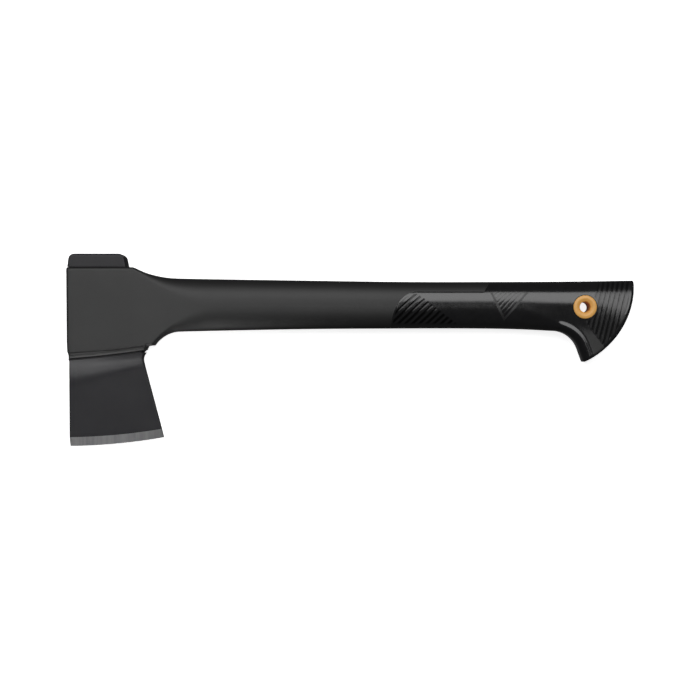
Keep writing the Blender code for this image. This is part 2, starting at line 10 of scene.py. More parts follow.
import bmesh
import bpy
import numpy as np
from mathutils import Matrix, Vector


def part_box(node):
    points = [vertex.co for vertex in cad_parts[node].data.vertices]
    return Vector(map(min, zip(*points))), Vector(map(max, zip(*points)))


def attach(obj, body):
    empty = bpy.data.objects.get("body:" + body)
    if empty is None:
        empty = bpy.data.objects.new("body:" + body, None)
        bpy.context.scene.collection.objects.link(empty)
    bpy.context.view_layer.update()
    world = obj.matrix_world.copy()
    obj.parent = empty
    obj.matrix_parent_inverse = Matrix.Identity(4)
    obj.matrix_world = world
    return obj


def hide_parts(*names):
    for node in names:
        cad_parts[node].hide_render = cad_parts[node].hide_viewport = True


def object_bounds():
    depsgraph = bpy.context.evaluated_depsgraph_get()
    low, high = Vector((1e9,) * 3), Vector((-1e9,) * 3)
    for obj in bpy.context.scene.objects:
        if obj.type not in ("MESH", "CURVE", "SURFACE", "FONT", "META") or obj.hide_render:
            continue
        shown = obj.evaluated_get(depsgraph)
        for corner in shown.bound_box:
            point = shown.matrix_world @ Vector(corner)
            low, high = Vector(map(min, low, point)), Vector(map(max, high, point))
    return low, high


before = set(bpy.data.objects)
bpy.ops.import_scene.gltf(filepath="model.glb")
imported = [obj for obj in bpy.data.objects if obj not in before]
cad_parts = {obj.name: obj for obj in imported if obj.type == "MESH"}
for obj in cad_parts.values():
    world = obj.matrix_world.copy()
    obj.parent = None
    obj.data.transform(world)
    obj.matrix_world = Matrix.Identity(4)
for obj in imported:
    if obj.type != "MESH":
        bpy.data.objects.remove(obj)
cad_low, cad_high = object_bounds()

MM = 0.001
GAP = 0.3

# Overall sizes
LENGTH = (cad_high[0] - cad_low[0]) / MM
POLL_TOP = 32.8
WRAP_HALF = 14.0
ORIGIN = (cad_low[0], cad_high[1] - POLL_TOP * MM, (cad_low[2] + cad_high[2]) / 2.0)

# Outline of the wrap round the head, with the collar bead along its lower rim
WRAP_TOP = 24.2
WRAP_CORNER = 1.5
WRAP_LEAN = 0.45
WRAP_LEDGE_X = 42.4
BACK_FILLET = (70.8, 79.6, 62.35)
WRAP_HEEL_X = 49.3
HEEL_RISE = 1.6
BELLY_LEDGE_X = 54.6
BELLY_LEDGE_SLOPE = 0.1
BELLY_FILLET = (71.4, -36.95, 20.4)
COLLAR_STEP = 1.6
COLLAR_ROUND = 1.5
COLLAR_DRAW = 1.1
COLLAR_DRAW_X = 12.0
COLLAR_DRAW_Y = (-32.0, -28.6)
GROOVE_WIDTH = 0.5
GROOVE_DEPTH = 0.6

# Outline of the shaft, as points on its back and belly curves
BACK_POINTS = ((70.8, 17.25), (148.0, 16.05), (215.0, 15.15), (275.0, 15.15), (330.0, 15.4), (360.0, 15.9))
BELLY_POINTS = ((71.4, -16.55), (148.0, -15.05), (215.0, -14.6), (265.0, -14.65), (290.0, -15.2),
                (308.95, -16.1))
SHAFT_X = 88.0
SHAFT_THIN_X = 92.0
SHAFT_BELLY_X = 94.0
SHAFT_MIDDLE_X = 150.0
SHAFT_HALF = 10.8
SHAFT_ROUND = 2.4
SHAFT_FLAT = 0.6
SHAFT_EDGE = 0.8

# Outline of the hooked butt: the hook's arc ends in a straight stretch down to the tip
HOOK = (308.95, -32.9, 16.8)
HOOK_LEAN = 20.0
REAR = (305.35, 13.55, 54.63)
BUTT_START_X = 292.0
BUTT_WIDEN_X = (288.0, 334.0)
BUTT_HALF = 13.2
GRIP_ROUND = 14.4
BUTT_BACK_ROUND = 30.0
BUTT_BACK_X = (324.0, 352.0)
BUTT_BELLY_ROUND = 5.0
BUTT_BELLY_X = (285.0, 325.0)
BUTT_FLAT = 4.0
BUTT_FLAT_X = (285.0, 340.0)
REAR_FILLET = 1.8
FRONT_FILLET = 1.6
TIP_RADIUS = 1.0
HEEL_RADIUS = 1.0
LIP_OFFSET = 3.9
LIP_OUTSIDE = 3.9
LIP_WIDTH = 3.0
LIP_HEIGHT = 0.5
LIP_START_X = (310.0, 315.0)
LIP_START_Y = (-10.0, -7.5)
DISH_POINTS = ((-60.0, 1.25), (-34.0, 1.25), (-24.0, 1.15), (-12.0, 0.62), (-4.0, 0.17), (1.5, 0.0),
               (40.0, 0.0))
DISH_START_X = (285.0, 312.0)
DISH_DROP = 6.5
DISH_DROP_X = ((326.0, 340.0), (343.0, 355.0))
DISH_TOP_Y = 39.0

# Grip skin and the ribbed fields on it
PLUG_X = 316.0
SKIN = 1.8
SKIN_START_X = 196.0
GRIP_FRONT = (222.0, -14.5, 16.0, 23.2)
SPINE_Y = 8.7
SPINE_END = ((265.0, 8.7), (268.8, 15.0))
FRONT_DEPTH = 0.1
ARROW_DEPTH = 0.05
BUTT_DEPTH = 0.08
SEAM_DROP = 0.04
SEAM_WIDTH = 0.5
SEAM_GAP = 0.05
FRONT_FIELD = ((221.8, 8.0), (250.5, -13.6))
FRONT_LEAN = 43.0
FRONT_PITCH = 3.1
ARROW = ((268.2, 9.4), (293.9, 9.4), (277.4, -9.8))
ARROW_LEAN = 50.0
ARROW_PITCH = 2.45
ARROW_LINE = 1.1
BUTT_FIELD = ((337.0, 13.0), (328.6, -10.5), (339.5, -24.5))
BUTT_LEAN = 76.0
BUTT_PITCH = 3.0
BUTT_RIM = 2.4

# Steel head
POLL_BASE = 24.5
POLL_HALF = 12.5
POLL_BASE_X = (0.6, 37.9)
POLL_TOP_X = (1.7, 36.2)
POLL_CORNER = 3.1
POLL_ROUND = 1.4
TANG_X = (4.0, 36.0)
TANG_HALF = 8.5
BLADE_GAP = 1.45
TONGUE_X = (1.2, 47.6)
TONGUE_HALF = 10.6
TONGUE_WIDEN = 1.6
BLADE_FRONT_X = (1.9, 0.85, 1.3)
NECK_X = 47.8
NECK_Y = -34.6
NECK_RISE_Y = (-33.0, -28.5)
HEEL_SLOPE = 0.272
BLADE_SHOULDER_HALF = 12.4
BLADE_HALF = 4.2
BEVEL_HALF = 1.5
EDGE_HALF = 0.2
BLADE_TOP_X = 48.0
FLARE_HEEL = 11.0
FLARE_TOE = 18.0
FLARE_POWER = 2.6
EDGE_ARC = (-2.9, 279.1, 368.7)
BEVEL_HEIGHT = 5.7

# Eyelet
eye_low, eye_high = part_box("eyelet_front")
EYE = (((eye_low[0] + eye_high[0]) / 2.0 - ORIGIN[0]) / MM,
       ((eye_low[1] + eye_high[1]) / 2.0 - ORIGIN[1]) / MM)
EYE_BORE = 3.35
EYE_TUBE = 5.3
EYE_FLANGE = 7.4
EYE_SEAT = 12.2
EYE_TOP = 13.9

PRISM_HALF = 30.0


def to_world(points):
    """Turns design-frame millimetres into the frame's metres."""
    return np.asarray(points, dtype=float) * MM + np.array(ORIGIN)


def blend(value, low, high, first, last):
    """Goes smoothly from first at low to last at high."""
    t = min(max((value - low) / (high - low), 0.0), 1.0)
    return first + (last - first) * t * t * (3.0 - 2.0 * t)


def curve_through(points):
    """Returns a smooth y(x) through the points."""
    def slope(i):
        a, b = points[max(i - 1, 0)], points[min(i + 1, len(points) - 1)]
        return (b[1] - a[1]) / (b[0] - a[0])

    def height(x):
        i = 0
        while i < len(points) - 2 and x > points[i + 1][0]:
            i += 1
        (x0, y0), (x1, y1) = points[i], points[i + 1]
        run = x1 - x0
        t = (x - x0) / run
        rise = (3.0 - 2.0 * t) * t * t
        tangents = slope(i) * run * t * (1.0 - t) ** 2 - slope(i + 1) * run * t * t * (1.0 - t)
        return y0 + (y1 - y0) * rise + tangents
    return height


back_curve = curve_through(BACK_POINTS)
belly_curve = curve_through(BELLY_POINTS)
dish_curve = curve_through(DISH_POINTS)


def collar_low(x):
    """Height of the collar's lower rim, where the blade leaves the wrap."""
    return -33.7 + 0.066 * x + 0.00085 * x * x


def collar_high(x):
    """Height of the collar's upper rim, on the wrap's cheek."""
    return -29.8 + 0.055 * x + 0.0004 * x * x


def back_edge(x):
    """Upper outline of the handle."""
    if x < WRAP_LEDGE_X:
        return WRAP_TOP
    cx, cy, r = BACK_FILLET
    if x < cx:
        return cy - sqrt(r * r - (x - cx) ** 2)
    return back_curve(x)


def belly_edge(x):
    """Lower outline of the handle, as far as the hook: collar, step up, short ledge, fillet, shaft."""
    if x < WRAP_HEEL_X:
        return collar_low(x)
    cx, cy, r = BELLY_FILLET
    fillet = cy + sqrt(r * r - (min(max(x, BELLY_LEDGE_X), cx) - cx) ** 2)
    if x < BELLY_LEDGE_X:
        ledge = fillet - BELLY_LEDGE_SLOPE * (BELLY_LEDGE_X - x)
        return blend(x, WRAP_HEEL_X, WRAP_HEEL_X + HEEL_RISE, collar_low(WRAP_HEEL_X), ledge)
    return fillet if x < cx else belly_curve(x)


def half_thickness(x):
    """Half the handle's thickness at x."""
    if x < SHAFT_MIDDLE_X:
        return blend(x, WRAP_LEDGE_X, SHAFT_THIN_X, WRAP_HALF, SHAFT_HALF)
    return blend(x, *BUTT_WIDEN_X, SHAFT_HALF, BUTT_HALF)


def corners(x, depth):
    """Belly and back corners of the section at x, each as (reach along the rib, flat, exponent)."""
    roundness = depth / 2.0 - SHAFT_EDGE
    half = half_thickness(x)
    if x < WRAP_HEEL_X:
        belly = (COLLAR_ROUND, half - COLLAR_STEP, 2.0)
    elif x < SHAFT_MIDDLE_X:
        belly = (blend(x, BELLY_LEDGE_X, SHAFT_BELLY_X, COLLAR_ROUND, roundness),
                 blend(x, BELLY_LEDGE_X, SHAFT_BELLY_X, half - COLLAR_STEP, SHAFT_FLAT),
                 blend(x, BELLY_LEDGE_X, SHAFT_BELLY_X, 2.0, SHAFT_ROUND))
    else:
        roundness = min(roundness, GRIP_ROUND)
        belly = (blend(x, *BUTT_BELLY_X, roundness, BUTT_BELLY_ROUND),
                 blend(x, *BUTT_BELLY_X, SHAFT_FLAT, half - BUTT_BELLY_ROUND),
                 blend(x, *BUTT_BELLY_X, SHAFT_ROUND, 2.0))
    if x < SHAFT_MIDDLE_X:
        back = (blend(x, WRAP_LEDGE_X, SHAFT_X, WRAP_CORNER, roundness),
                blend(x, WRAP_LEDGE_X, SHAFT_X, half - WRAP_CORNER, SHAFT_FLAT),
                blend(x, WRAP_LEDGE_X, SHAFT_X, 2.0, SHAFT_ROUND))
    else:
        back = (blend(x, *BUTT_BACK_X, roundness, BUTT_BACK_ROUND),
                blend(x, *BUTT_FLAT_X, SHAFT_FLAT, BUTT_FLAT),
                SHAFT_ROUND)
    return belly, back


def rounding(distance, corner, half):
    """Share of the half thickness left at a distance from the section's end."""
    reach, flat, power = corner
    if distance >= reach:
        return 1.0
    full = (1.0 - (1.0 - distance / reach) ** power) ** (1.0 / power)
    return (flat + (half - flat) * full) / half


def inset_corners(x, depth, inset):
    """The section's corners and half thickness, shrunk by the inset."""
    half = half_thickness(x) - inset
    shrunk = [(max(reach - inset, depth * 0.04), min(max(flat - inset, SHAFT_FLAT), half), power)
              for reach, flat, power in corners(x, depth + 2.0 * inset)]
    return shrunk, half


def corner_places(corner, most, steps):
    """Distances from the section's end that follow its rounded corner."""
    reach, _, power = corner
    return [min(reach, most) * (1.0 - max(cos(step / steps * pi / 2.0), 0.0) ** (2.0 / power))
            for step in range(steps + 1)]


def section(x, depth, inset, steps, face_steps):
    """Points of one rib as (share of the rib from the belly, half thickness there)."""
    (belly, back), half = inset_corners(x, depth, inset)
    lower = corner_places(belly, depth * 0.45, steps)
    upper = [depth - d for d in reversed(corner_places(back, depth * 0.5, steps))]
    band = collar_high(x) - belly_edge(x) if x < WRAP_HEEL_X + HEEL_RISE else 0.0
    groove_at = max(band, lower[-1] + 2.0 * GROOVE_WIDTH)
    deep = blend(x, WRAP_HEEL_X - 1.0, WRAP_HEEL_X + 0.6, GROOVE_DEPTH, 0.0) if inset == 0.0 else 0.0
    groove = [(groove_at - 1.9 * GROOVE_WIDTH, 0.0), (groove_at - 1.3 * GROOVE_WIDTH, 0.35 * deep),
              (groove_at - GROOVE_WIDTH, deep), (groove_at - 0.1 * GROOVE_WIDTH, deep), (groove_at, 0.0)]
    start, end = groove_at, upper[0]
    places = [(d, 0.0) for d in lower] + groove
    places += [(start + (end - start) * i / face_steps, 0.0) for i in range(1, face_steps)]
    places += [(d, 0.0) for d in upper]
    return [(d / depth, half * rounding(d, belly, half) * rounding(depth - d, back, half) - sunk)
            for d, sunk in places]


def even_section(x, depth, count):
    """Points of one rib spread evenly along its surface, as (share of the rib, half thickness)."""
    (belly, back), half = inset_corners(x, depth, 0.0)
    fine = 160
    profile = []
    for step in range(fine + 1):
        d = depth * (1.0 - cos(step / fine * pi)) / 2.0
        profile.append((d, half * rounding(d, belly, half) * rounding(depth - d, back, half)))
    profile = np.array(profile)
    steps = np.hypot(*np.diff(profile, axis=0).T)
    travel = np.concatenate(([0.0], np.cumsum(steps)))
    at = np.linspace(0.0, travel[-1], count)
    shares = np.interp(at, travel, profile[:, 0]) / depth
    return list(zip(shares, np.interp(at, travel, profile[:, 1])))


def end_factor(distance, radius, half):
    """How far the thickness draws in near a filleted end."""
    if distance >= radius:
        return 1.0
    return 1.0 - (radius - sqrt(radius ** 2 - (radius - distance) ** 2)) / half


def upright_rib(x, cut, inset=0.0, front=False):
    """A rib straight across the handle at x; the wrap's front leans and draws in at the collar."""
    low, high = belly_edge(x) + inset, back_edge(x) - inset
    factor = end_factor(x, FRONT_FILLET, WRAP_HALF) if front else 1.0
    near_front = max(0.0, 1.0 - x / COLLAR_DRAW_X)
    rib = []
    for share, z in cut(x, high - low, inset):
        y = low + (high - low) * share
        lean = WRAP_LEAN * (WRAP_TOP - y) / (WRAP_TOP - collar_low(0.0))
        draw = lean + blend(y, *COLLAR_DRAW_Y, COLLAR_DRAW, 0.0)
        rib.append((x + draw * near_front, y, z * factor))
    return rib


def arc_point(circle, start, end, share):
    """A point on the circle, share of the way from angle start to angle end."""
    cx, cy, r = circle
    angle = start + (end - start) * share
    return cx + r * cos(angle), cy + r * sin(angle)


def angle_on(circle, point):
    """Direction of the point from the circle's centre, for points on its right."""
    return atan2(point[1] - circle[1], point[0] - circle[0])


def line_meets_circle(start, heading, circle):
    """How far along the heading a line from inside the circle reaches it."""
    cx, cy, r = circle
    dx, dy = start[0] - cx, start[1] - cy
    along = dx * heading[0] + dy * heading[1]
    return sqrt(along * along - (dx * dx + dy * dy - r * r)) - along


HOOK_HEADING = (sin(radians(HOOK_LEAN)), -cos(radians(HOOK_LEAN)))


def butt_outline(inset, rear_inset):
    """Belly, rear and back curves of the hooked butt, each a function of the share along it."""
    hook = (HOOK[0], HOOK[1], HOOK[2] + inset)
    rear = (REAR[0], REAR[1], REAR[2] - rear_inset)
    turn = arc_point(hook, 0.0, radians(HOOK_LEAN), 1.0)
    straight = line_meets_circle(turn, HOOK_HEADING, rear)
    tip = (turn[0] + HOOK_HEADING[0] * straight, turn[1] + HOOK_HEADING[1] * straight)
    run = HOOK[0] - BUTT_START_X
    bend = hook[2] * (pi / 2.0 - radians(HOOK_LEAN))
    heel_x = rear[0] + sqrt(rear[2] ** 2 - (back_edge(LENGTH) - inset - rear[1]) ** 2)
    heel = (heel_x, back_edge(heel_x) - inset)
    rear_from, rear_to = angle_on(rear, tip), angle_on(rear, heel)

    def belly(share):
        travel = share * (run + bend + straight)
        if travel < run:
            x = BUTT_START_X + travel
            return x, belly_edge(x) + inset
        if travel < run + bend:
            return arc_point(hook, pi / 2.0, radians(HOOK_LEAN), (travel - run) / bend)
        beyond = travel - run - bend
        return turn[0] + HOOK_HEADING[0] * beyond, turn[1] + HOOK_HEADING[1] * beyond

    def back(share):
        x = BUTT_START_X + share * (heel[0] - BUTT_START_X)
        return x, back_edge(x) - inset

    def rear_side(share):
        return arc_point(rear, rear_from, rear_to, share)
    return belly, back, rear_side


def butt_point(u, v, low, high, near, far, corner):
    """Point of the butt's patch: u runs to the rear, v from the belly to the back."""
    point = []
    for i in range(2):
        ruled = (1 - v) * low[i] + v * high[i] + (1 - u) * near[i] + u * far[i]
        twice = ((1 - u) * (1 - v) * corner[0][i] + u * (1 - v) * corner[1][i]
                 + (1 - u) * v * corner[2][i] + u * v * corner[3][i])
        point.append(ruled - twice)
    return point


def lip(x, y):
    """Height of the raised lip that follows the hook's inner edge."""
    dx, dy = x - HOOK[0], y - HOOK[1]
    past = dx * HOOK_HEADING[0] + dy * HOOK_HEADING[1]
    off = dx * cos(radians(HOOK_LEAN)) + dy * sin(radians(HOOK_LEAN)) if past > 0.0 else hypot(dx, dy)
    reach = blend(x, *LIP_START_X, 0.0, 1.0) * blend(y, *LIP_START_Y, 1.0, 0.0)
    off -= HOOK[2] + LIP_OFFSET
    side = blend(off, 0.0, LIP_WIDTH, 1.0, 0.0) if off > 0.0 else blend(off, -LIP_OUTSIDE, 0.0, 0.0, 1.0)
    return LIP_HEIGHT * reach * side


def dish(x, y):
    """How far the butt's face falls away below the grip's crest, which drops behind the eyelet."""
    lower = sum(blend(x, *stretch, 0.0, DISH_DROP) for stretch in DISH_DROP_X)
    return dish_curve(min(y + lower, DISH_TOP_Y)) * blend(x, *DISH_START_X, 0.0, 1.0)


def butt_rib(u, cut, inset, rear_inset, rear_distance):
    """A rib of the butt, between the upright rib at its start and the rear arc."""
    belly, back, rear_side = butt_outline(inset, rear_inset)
    start_low, start_high = belly_edge(BUTT_START_X) + inset, back_edge(BUTT_START_X) - inset
    low, high = belly(u), back(u)
    corner = (belly(0.0), belly(1.0), back(0.0), back(1.0))
    depth = hypot(high[0] - low[0], high[1] - low[1])
    middle = (low[0] + high[0]) / 2.0
    factor = end_factor(rear_distance, REAR_FILLET, BUTT_HALF) / half_thickness(middle)
    rib = []
    for share, z in cut(middle, depth, inset):
        near = (BUTT_START_X, start_low + (start_high - start_low) * share)
        x, y = butt_point(u, share, low, high, near, rear_side(share), corner)
        z -= dish(x, y)
        if inset == 0.0:
            z += lip(x, y)
        rib.append((x, y, z * factor * half_thickness(x)))
    return rib


def butt_ribs(cut, inset, steps, fillet_steps):
    """Ribs of the butt from its start to the rear arc."""
    fillet = REAR_FILLET if inset == 0.0 else 0.0
    ribs = [butt_rib(i / steps, cut, inset, inset + fillet, REAR_FILLET) for i in range(steps + 1)]
    for step in range(1, fillet_steps + 1 if fillet else 1):
        distance = fillet * (1.0 - sin(step / fillet_steps * pi / 2.0))
        ribs.append(butt_rib(1.0, cut, inset, distance, distance))
    return ribs


def spread(*stretches):
    """Places along the handle: each stretch gives its start, its end and about how far apart they lie."""
    places = []
    for start, end, pitch in stretches:
        count = max(1, round((end - start) / pitch))
        places += [start + (end - start) * i / count for i in range(count)]
    return places


def round_corner(ribs, centre, radius, first, second):
    """Draws the rib points in a corner, between its two outward normals, back on to a fillet."""
    cross = first[0] * second[1] - first[1] * second[0]
    for rib in ribs:
        for i, (x, y, z) in enumerate(rib):
            dx, dy = x - centre[0], y - centre[1]
            along = (dx * second[1] - dy * second[0]) / cross
            beyond = (first[0] * dy - first[1] * dx) / cross
            off = hypot(dx, dy)
            if along > 0.0 and beyond > 0.0 and off > radius:
                rib[i] = (centre[0] + dx * radius / off, centre[1] + dy * radius / off, z)
    return ribs


def round_tip(ribs):
    """Rounds the hook's tip, between its straight stretch and the rear arc."""
    inner = (HOOK[0], HOOK[1], HOOK[2] + TIP_RADIUS)
    turn = arc_point(inner, 0.0, radians(HOOK_LEAN), 1.0)
    along = line_meets_circle(turn, HOOK_HEADING, (REAR[0], REAR[1], REAR[2] - TIP_RADIUS))
    centre = (turn[0] + HOOK_HEADING[0] * along, turn[1] + HOOK_HEADING[1] * along)
    outward = (-cos(radians(HOOK_LEAN)), -sin(radians(HOOK_LEAN)))
    rearward = ((centre[0] - REAR[0]) / REAR[2], (centre[1] - REAR[1]) / REAR[2])
    return round_corner(ribs, centre, TIP_RADIUS, outward, rearward)


def new_object(name, mesh):
    """Links a mesh as an object at the frame's origin."""
    made = bpy.data.objects.new(name, mesh)
    bpy.context.scene.collection.objects.link(made)
    return made


def finish_mesh(mesh, angle=40.0):
    """Faces outward, shaded smooth with sharp edges past the angle."""
    work = bmesh.new()
    work.from_mesh(mesh)
    bmesh.ops.recalc_face_normals(work, faces=work.faces)
    work.to_mesh(mesh)
    work.free()
    mesh.shade_smooth()
    mesh.set_sharp_from_angle(angle=radians(angle))


def mesh_of(name, points, faces):
    """Mesh from design-frame points."""
    mesh = bpy.data.meshes.new(name)
    mesh.from_pydata(to_world(points).tolist(), [], faces)
    finish_mesh(mesh)
    return mesh


def ribbed_solid(name, ribs):
    """Closed solid symmetric about z = 0, from ribs of (x, y, half thickness)."""
    count = len(ribs[0])
    grid = np.array(ribs)
    mirrored = grid * np.array((1.0, 1.0, -1.0))
    points = np.concatenate((grid, mirrored), axis=1).reshape(-1, 3)
    faces = []
    for r in range(len(ribs) - 1):
        here, there = r * 2 * count, (r + 1) * 2 * count
        for i in range(count - 1):
            faces.append((here + i, here + i + 1, there + i + 1, there + i))
            faces.append((here + count + i, there + count + i, there + count + i + 1, here + count + i + 1))
        for i in (0, count - 1):
            faces.append((here + i, there + i, there + count + i, here + count + i))
    for end in (0, (len(ribs) - 1) * 2 * count):
        for i in range(count - 1):
            faces.append((end + i, end + i + 1, end + count + i + 1, end + count + i))
    return new_object(name, mesh_of(name, points, faces))


def prism(name, outline, low=-PRISM_HALF, high=PRISM_HALF):
    """Straight solid over an outline in the XY plane."""
    count = len(outline)
    points = [(x, y, low) for x, y in outline] + [(x, y, high) for x, y in outline]
    faces = [tuple(range(count)), tuple(range(2 * count - 1, count - 1, -1))]
    for i in range(count):
        j = (i + 1) % count
        faces.append((i, j, count + j, count + i))
    return new_object(name, mesh_of(name, points, faces))


def box(name, x, y, z):
    """Rectangular solid between the given limits."""
    return prism(name, ((x[0], y[0]), (x[1], y[0]), (x[1], y[1]), (x[0], y[1])), *z)


def rod(name, radius, low, high, sides=96):
    """Straight cylinder along Z on the eyelet's axis."""
    outline = [(EYE[0] + radius * cos(2 * pi * s / sides), EYE[1] + radius * sin(2 * pi * s / sides))
               for s in range(sides)]
    return prism(name, outline, low, high)


def turned(name, profile, sides=96):
    """Ring turned about the eyelet's axis from a closed profile of (radius, height)."""
    count = len(profile)
    points = []
    for s in range(sides):
        angle = 2.0 * pi * s / sides
        points += [(EYE[0] + r * cos(angle), EYE[1] + r * sin(angle), z) for r, z in profile]
    faces = []
    for s in range(sides):
        here, there = s * count, (s + 1) % sides * count
        for i in range(count):
            j = (i + 1) % count
            faces.append((here + i, there + i, there + j, here + j))
    return new_object(name, mesh_of(name, points, faces))


def carve(target, *steps):
    """Applies Booleans, each an (operation, tool), and removes the tools."""
    for operation, tool in steps:
        modifier = target.modifiers.new(operation, "BOOLEAN")
        modifier.operation = operation
        modifier.solver = "MANIFOLD"
        modifier.object = tool
    shaped = target.evaluated_get(bpy.context.evaluated_depsgraph_get())
    mesh = bpy.data.meshes.new_from_object(shaped)
    target.modifiers.clear()
    target.data = mesh
    for _, tool in steps:
        bpy.data.objects.remove(tool, do_unlink=True)
    mesh.shade_smooth()
    mesh.set_sharp_from_angle(angle=radians(40.0))
    return target


def grip_outline(grow, steps=60):
    """Outline of the region under the grip skin, grown over the bare handle."""
    cx, cy, across, up = GRIP_FRONT
    front = []
    for i in range(steps + 1):
        angle = i / steps * pi / 2.0
        front.append((cx - (across + grow) * cos(angle), cy + (up + grow) * sin(angle)))
    spine = [(SPINE_END[0][0] - grow, SPINE_END[0][1] + grow), (SPINE_END[1][0] - grow, SPINE_END[1][1])]
    far = [(SPINE_END[1][0] - grow, 40.0), (LENGTH + 20.0, 40.0), (LENGTH + 20.0, -60.0)]
    return front + spine + far + [(cx - across - grow, -60.0)]


def coarse_cut(x, depth, inset):
    """Section points for shapes that stay smooth."""
    return section(x, depth, inset, 14, 8)


def core_solid(name, inset, end_x):
    """The core under the grip skin, as far as end_x."""
    ribs = [upright_rib(x, coarse_cut, inset) for x in spread((SKIN_START_X, BUTT_START_X, 3.0))]
    core = ribbed_solid(name, ribs + butt_ribs(coarse_cut, inset, 30, 0))
    keep = box("keep_core", (190.0, end_x), (-60.0, 60.0), (-PRISM_HALF, PRISM_HALF))
    return carve(core, ("INTERSECT", keep))


def make_handle_body():
    """Wrap with its collar, and the matte shaft with the spine and core that the skin covers."""
    fillet = [FRONT_FILLET * (1.0 - cos(i / 6.0 * pi / 2.0)) for i in range(6)]
    places = fillet + spread((FRONT_FILLET, COLLAR_DRAW_X, 1.0), (COLLAR_DRAW_X, WRAP_LEDGE_X, 3.0),
                             (WRAP_LEDGE_X, WRAP_HEEL_X, 1.2), (WRAP_HEEL_X, BELLY_LEDGE_X, 0.2),
                             (BELLY_LEDGE_X, SHAFT_THIN_X, 1.2), (SHAFT_THIN_X, BUTT_START_X, 3.0))
    ribs = [upright_rib(x, coarse_cut, 0.0, True) for x in places] + butt_ribs(coarse_cut, 0.0, 12, 2)
    round_corner(ribs, (WRAP_CORNER, WRAP_TOP - WRAP_CORNER), WRAP_CORNER, (-1.0, 0.0), (0.0, 1.0))
    body = ribbed_solid("handle_shell", ribs)
    slot = box("slot", (TANG_X[0] - GAP, TANG_X[1] + GAP), (-50.0, 50.0), (-TANG_HALF - GAP, TANG_HALF + GAP))
    skin = prism("skin_region", grip_outline(SEAM_GAP))
    carve(skin, ("DIFFERENCE", core_solid("core", SKIN + GAP, PLUG_X)))
    return carve(body, ("DIFFERENCE", slot), ("DIFFERENCE", skin))


def side_of(line, x, y):
    """Distance of points from a line, positive on its left."""
    (x0, y0), (x1, y1) = line
    run, rise = x1 - x0, y1 - y0
    return (run * (y - y0) - rise * (x - x0)) / hypot(run, rise)


def soft_step(value, width):
    """Goes from 0 to 1 as value goes from 0 to width."""
    t = np.clip(value / width, 0.0, 1.0)
    return t * t * (3.0 - 2.0 * t)


def ribs_across(x, y, lean, pitch):
    """Fine ribs that lean at an angle: 0 on a rib, rising to 1 at the middle of the groove beside it."""
    across = (x * sin(radians(lean)) - y * cos(radians(lean))) / pitch
    return np.abs((across % 1.0) - 0.5) * 2.0


def groove(wave, field):
    """Pressed groove between two ribs: its depth from 0 to 1, and the wider stretch that gets painted shade.
    """
    return field * soft_step(wave - 0.58, 0.22), field * soft_step(wave - 0.42, 0.14)


def edge_distance(corners_of, x, y):
    """Distance inside a convex outline whose corners run clockwise."""
    count = len(corners_of)
    edges = [-side_of((corners_of[i], corners_of[(i + 1) % count]), x, y) for i in range(count)]
    return np.minimum.reduce(edges)


def skin_edge_distance(x, y):
    """Distance inside the skin's curved front edge."""
    cx, cy, across, up = GRIP_FRONT
    ring = np.sqrt(((x - cx) / across) ** 2 + ((y - cy) / up) ** 2)
    return np.where(x < cx, (1.0 - ring) * 0.5 * (across + up), 99.0)


def hook_distance(x, y):
    """Distance from the hook's inner outline, into the butt."""
    dx, dy = x - HOOK[0], y - HOOK[1]
    past = dx * HOOK_HEADING[0] + dy * HOOK_HEADING[1]
    straight = dx * cos(radians(HOOK_LEAN)) + dy * sin(radians(HOOK_LEAN))
    return np.where(past > 0.0, straight, np.hypot(dx, dy)) - HOOK[2]


def seam(x, y):
    """1 along the skin's border with the matte shaft and spine, falling to 0 beside it."""
    above = np.where((x > GRIP_FRONT[0]) & (x < SPINE_END[0][0]), np.abs(y - SPINE_Y), 99.0)
    spine_end = np.where(y > SPINE_Y, np.abs(side_of(SPINE_END, x, y)), 99.0)
    near = np.minimum(np.abs(skin_edge_distance(x, y)), np.minimum(above, spine_end))
    return np.exp(-(near / SEAM_WIDTH) ** 2)


